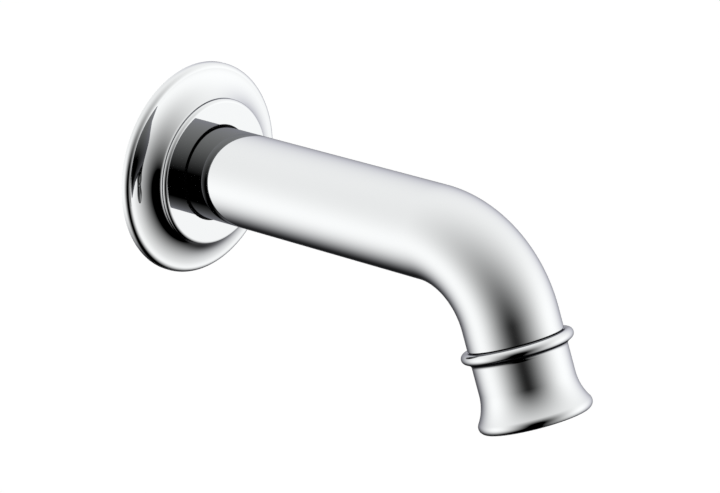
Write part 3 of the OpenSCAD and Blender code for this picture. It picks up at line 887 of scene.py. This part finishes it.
def nozzle_outline():
    """From the spigot in the tube over the bead, barrel and flare to the cartridge's bore."""
    spigot_r = TUBE_R - TUBE_WALL - JOINT_GAP
    bead_mid = TUBE_R + BEAD_PROUD - BEAD_R
    lip_mid, lip_at = MOUTH_R - LIP_R, MOUTH_AT - LIP_R
    turn = math.degrees(math.acos((TUBE_R + FLARE_R - lip_mid) / (FLARE_R + LIP_R)))
    flare_at = lip_at - (FLARE_R + LIP_R) * math.sin(math.radians(turn))
    groove_r = TUBE_R + FILLET_R * (1 - math.cos(math.radians(FILLET_TURN)))
    groove_meets_bead = math.degrees(math.acos((groove_r - bead_mid) / BEAD_R))
    groove_at = BEAD_AT + BEAD_R * math.sin(math.radians(groove_meets_bead))
    fillet_at = groove_at + GROOVE_W + FILLET_R * math.sin(math.radians(FILLET_TURN))
    slot_meets_bead = math.degrees(math.acos((TUBE_R + JOINT_GAP - bead_mid) / BEAD_R))
    outline = [(WATERWAY_R, BEAD_AT - SPIGOT_LEN), (spigot_r, BEAD_AT - SPIGOT_LEN)]
    outline += [(spigot_r, BEAD_AT), (TUBE_R + JOINT_GAP, BEAD_AT)]
    outline += arc((bead_mid, BEAD_AT), BEAD_R, -slot_meets_bead, groove_meets_bead)
    outline += [(groove_r - GROOVE_DEPTH, groove_at + GROOVE_W / 2)]
    outline += arc((TUBE_R + FILLET_R, fillet_at), FILLET_R, 180 + FILLET_TURN, 180)
    outline += arc((TUBE_R + FLARE_R, flare_at), FLARE_R, 180, 180 - turn)
    outline += arc((lip_mid, lip_at), LIP_R, -turn, 180)[1:]
    outline += [(CARTRIDGE_R, MOUTH_AT - CARTRIDGE_UP), (CARTRIDGE_R, MOUTH_AT - CARTRIDGE_TOP)]
    outline += [(WATERWAY_R, MOUTH_AT - CARTRIDGE_TOP)]
    return outline


def under_bead_with_painted_shade(radius, distance):
    """Whether a face lies on the bead's underside or in the groove, where shade is painted."""
    low, high = BEAD_AT, BEAD_AT + BEAD_R + GROOVE_W
    return TUBE_R - GROOVE_DEPTH < radius < BEAD_FOOT_R and low < distance < high


# The bead's underside and the groove get painted shade.
nozzle_mesh = turned("nozzle", supported(nozzle_outline()), DOWN_OUTLET, finishes["nozzle_chrome"],
                     painted_shade=under_bead_with_painted_shade)
place("nozzle", nozzle_mesh, "nozzle_chrome", "outlet_nozzle")

# %% [markdown]
# ## The nipple and its thread
# The brass nipple stays in the wall elbow, and the spout slides over it. Its half-inch pipe thread and
# the six flats of its key socket are the two places where it isn't round. Cutting a coil out of it
# would leave a ragged mesh. Instead the tree lowers each point of the turned shape by a rule: along the
# thread by how far it is from the nearest crest, and in the socket by the angle to the nearest flat.

# %% Thread and socket rule
FLANK_STRETCH = 1.25
NEAR_KEY = 0.1 * MM


def nipple_tree():
    """A turned piece with a thread outside and a six-sided socket inside."""
    tree, given, result = group_tree(
        "GeometryNodeTree", "threaded nipple",
        [("Outline", "NodeSocketGeometry", None), ("Steps Round", "NodeSocketInt", 144),
         ("Sweep Radius", "NodeSocketFloat", SWEEP_R * MM), ("Root Radius", "NodeSocketFloat", 0.009),
         ("Thread Depth", "NodeSocketFloat", 0.001), ("Pitch", "NodeSocketFloat", 0.002),
         ("Thread Start", "NodeSocketFloat", -0.003), ("Half Key", "NodeSocketFloat", 0.006),
         ("Material", "NodeSocketMaterial", None)], [("Geometry", "NodeSocketGeometry")])
    round_piece = add(tree, "GeometryNodeGroup", node_tree=turned_piece)
    for name in ("Outline", "Steps Round", "Sweep Radius", "Material"):
        join(tree, given.outputs[name], round_piece.inputs[name])
    place_in = add(tree, "ShaderNodeSeparateXYZ")
    join(tree, add(tree, "GeometryNodeInputPosition").outputs[0], place_in.inputs[0])
    side, height, along = place_in.outputs
    radius = math_node(tree, "SQRT", math_node(tree, "ADD", math_node(tree, "MULTIPLY", side, side),
                                               math_node(tree, "MULTIPLY", height, height)))
    angle = math_node(tree, "ARCTAN2", height, side)
    turns = math_node(tree, "SUBTRACT", math_node(tree, "DIVIDE", along, given.outputs["Pitch"]),
                      math_node(tree, "DIVIDE", angle, 2 * math.pi))
    ramp = math_node(tree, "ABSOLUTE", math_node(tree, "SUBTRACT", math_node(
        tree, "MULTIPLY", math_node(tree, "FRACT", turns), 2.0), 1.0))
    flank = math_node(tree, "MULTIPLY_ADD", ramp, FLANK_STRETCH, (1 - FLANK_STRETCH) / 2, clamp=True)
    thread_r = math_node(tree, "MULTIPLY_ADD", flank, given.outputs["Thread Depth"],
                         given.outputs["Root Radius"])
    on_thread = math_node(tree, "MULTIPLY", math_node(
        tree, "LESS_THAN", along, given.outputs["Thread Start"]),
        math_node(tree, "GREATER_THAN", radius, given.outputs["Root Radius"]))
    nearest_flat = math_node(tree, "SUBTRACT", math_node(
        tree, "FLOORED_MODULO", angle, math.pi / 3), math.pi / 6)
    key_r = math_node(tree, "DIVIDE", given.outputs["Half Key"], math_node(tree, "COSINE", nearest_flat))
    on_key = math_node(tree, "COMPARE", radius, given.outputs["Half Key"], NEAR_KEY)
    on_key = math_node(tree, "MULTIPLY", on_key, math_node(tree, "GREATER_THAN", along, 0.0))
    thread_r = math_node(tree, "MINIMUM", radius, thread_r)
    new_radius = radius
    for mask, target in ((on_thread, thread_r), (on_key, key_r)):
        change = math_node(tree, "SUBTRACT", target, new_radius)
        new_radius = math_node(tree, "MULTIPLY_ADD", change, mask, new_radius)
    scale = math_node(tree, "DIVIDE", new_radius, radius)
    placed = add(tree, "ShaderNodeCombineXYZ")
    join(tree, math_node(tree, "MULTIPLY", side, scale), placed.inputs["X"])
    join(tree, math_node(tree, "MULTIPLY", height, scale), placed.inputs["Y"])
    join(tree, along, placed.inputs["Z"])
    moved = add(tree, "GeometryNodeSetPosition")
    join(tree, round_piece.outputs[0], moved.inputs["Geometry"])
    join(tree, placed.outputs[0], moved.inputs["Position"])
    finish_tree(tree, given, moved.outputs[0], result)
    return tree


threaded_nipple = nipple_tree()
print("tree:", threaded_nipple.name, len(threaded_nipple.nodes), "nodes")

# %% Nipple
THREAD_R = 10.4775
THREAD_DEPTH = 1.162
PITCH = 1.814
ROWS_A_TURN = 12
SPIGOT_R = 10.9
SPIGOT_END = 27.0
NIPPLE_BORE_R = 5.8
HALF_KEY = 6.0
KEY_DEPTH = 8.0
COLLAR_R = 13.5
COLLAR_T = 2.5
NECK_LENGTH = 1.8
THREAD_LENGTH = 13.0
TIP_SLOPE = 1.0
THREAD_START = TUBE_BACK - COLLAR_T - NECK_LENGTH
THREAD_END = THREAD_START - THREAD_LENGTH
# Each groove: its middle, its width and its depth
LOCK_GROOVE = (GRUB_AT, 4.4, 0.8)
RING_GROOVES = [(SPIGOT_END - 8.0, 2.6, 1.6), (SPIGOT_END - 3.5, 2.6, 1.6)]


def nipple_outline():
    """Thread, collar and grooved spigot outside, bore and key socket inside."""
    root_r = THREAD_R - THREAD_DEPTH
    outline = [(NIPPLE_BORE_R, THREAD_END - TIP_SLOPE), (THREAD_R - TIP_SLOPE, THREAD_END - TIP_SLOPE)]
    outline += rows(THREAD_R, THREAD_END, THREAD_START, PITCH / ROWS_A_TURN)
    collar_back = TUBE_BACK - COLLAR_T
    outline += [(root_r, THREAD_START), (root_r, collar_back), (COLLAR_R, collar_back)]
    outline += [(COLLAR_R, TUBE_BACK), (SPIGOT_R, TUBE_BACK)]
    for middle, width, depth in [LOCK_GROOVE] + RING_GROOVES:
        low, high = middle - width / 2, middle + width / 2
        bottom = SPIGOT_R - depth
        outline += [(SPIGOT_R, low), (bottom, low), (bottom, high), (SPIGOT_R, high)]
    outline += [(SPIGOT_R, SPIGOT_END), (HALF_KEY, SPIGOT_END), (HALF_KEY, SPIGOT_END - KEY_DEPTH)]
    outline += [(NIPPLE_BORE_R, SPIGOT_END - KEY_DEPTH)]
    return outline


nipple_mesh = turned("nipple", nipple_outline(), OUT_OF_WALL, finishes["bare_brass"], threaded_nipple,
                     steps=144, Root_Radius=(THREAD_R - THREAD_DEPTH) * MM,
                     Thread_Depth=THREAD_DEPTH * MM, Pitch=PITCH * MM,
                     Thread_Start=(THREAD_START + HAIR) * MM, Half_Key=HALF_KEY * MM)
place("nipple", nipple_mesh, "bare_brass", "wall_nipple")

# %% [markdown]
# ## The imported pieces
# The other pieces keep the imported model's own shapes: rings, washers, the screw and the flow cartridge
# in the mouth, of which only the honeycomb and its sleeve show. Each gets the finish that the record
# names for it. Their meshes aren't touched.

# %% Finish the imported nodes
for part in frame["record"]["subparts"]:
    node = nodes[part["node"]]
    node.data.materials.clear()
    node.data.materials.append(finishes[part["material_slot"]])
print("packed nodes finished")
